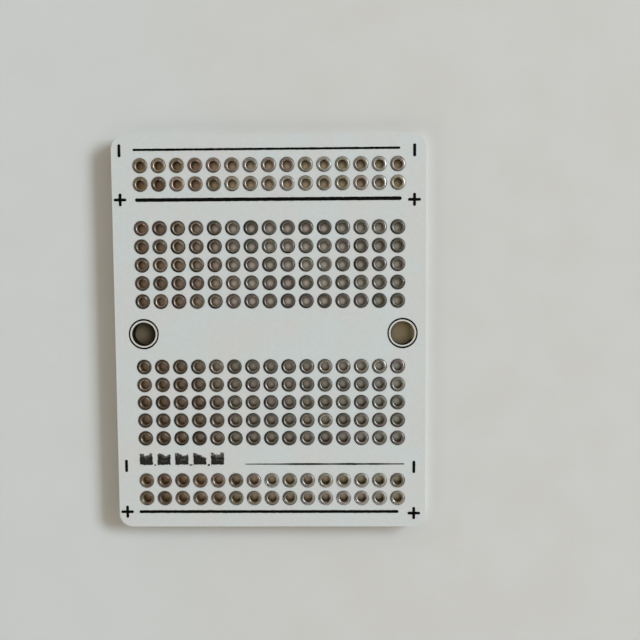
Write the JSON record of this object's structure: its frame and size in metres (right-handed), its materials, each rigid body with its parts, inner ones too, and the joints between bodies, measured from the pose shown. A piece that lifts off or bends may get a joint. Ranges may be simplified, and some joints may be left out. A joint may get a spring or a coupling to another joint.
{
  "type": "prototype board",
  "caption": "Bare prototyping circuit board with plated holes on a square grid, joined into short strips and long rails, and two mounting holes.",
  "frame": {"origin": "middle of the board's underside", "axes": "+Z out of the printed face, +Y along the strips towards the far rails, +X along the rails"},
  "size_m": [0.0434, 0.055, 0.0016],
  "materials": {
    "laminate": "glass-epoxy laminate, routed edges",
    "solder_mask": "white solder mask, semi-matt",
    "tinned_copper": "dull tarnished tin over copper",
    "print_ink": "black screen-printed ink"
  },
  "bodies": {
    "root": {"laminate_core": "laminate", "solder_mask_face": "solder_mask", "solder_mask_back": "solder_mask", "far_ground_rail": "tinned_copper", "far_supply_rail": "tinned_copper", "near_ground_rail": "tinned_copper", "near_supply_rail": "tinned_copper", "far_strip_01": "tinned_copper", "far_strip_02": "tinned_copper", "far_strip_03": "tinned_copper", "far_strip_04": "tinned_copper", "far_strip_05": "tinned_copper", "far_strip_06": "tinned_copper", "far_strip_07": "tinned_copper", "far_strip_08": "tinned_copper", "far_strip_09": "tinned_copper", "far_strip_10": "tinned_copper", "far_strip_11": "tinned_copper", "far_strip_12": "tinned_copper", "far_strip_13": "tinned_copper", "far_strip_14": "tinned_copper", "far_strip_15": "tinned_copper", "near_strip_01": "tinned_copper", "near_strip_02": "tinned_copper", "near_strip_03": "tinned_copper", "near_strip_04": "tinned_copper", "near_strip_05": "tinned_copper", "near_strip_06": "tinned_copper", "near_strip_07": "tinned_copper", "near_strip_08": "tinned_copper", "near_strip_09": "tinned_copper", "near_strip_10": "tinned_copper", "near_strip_11": "tinned_copper", "near_strip_12": "tinned_copper", "near_strip_13": "tinned_copper", "near_strip_14": "tinned_copper", "near_strip_15": "tinned_copper", "rail_lines": "print_ink", "polarity_marks": "print_ink", "mounting_hole_rings": "print_ink", "legend_blocks": "print_ink"}
  },
  "joints": []
}
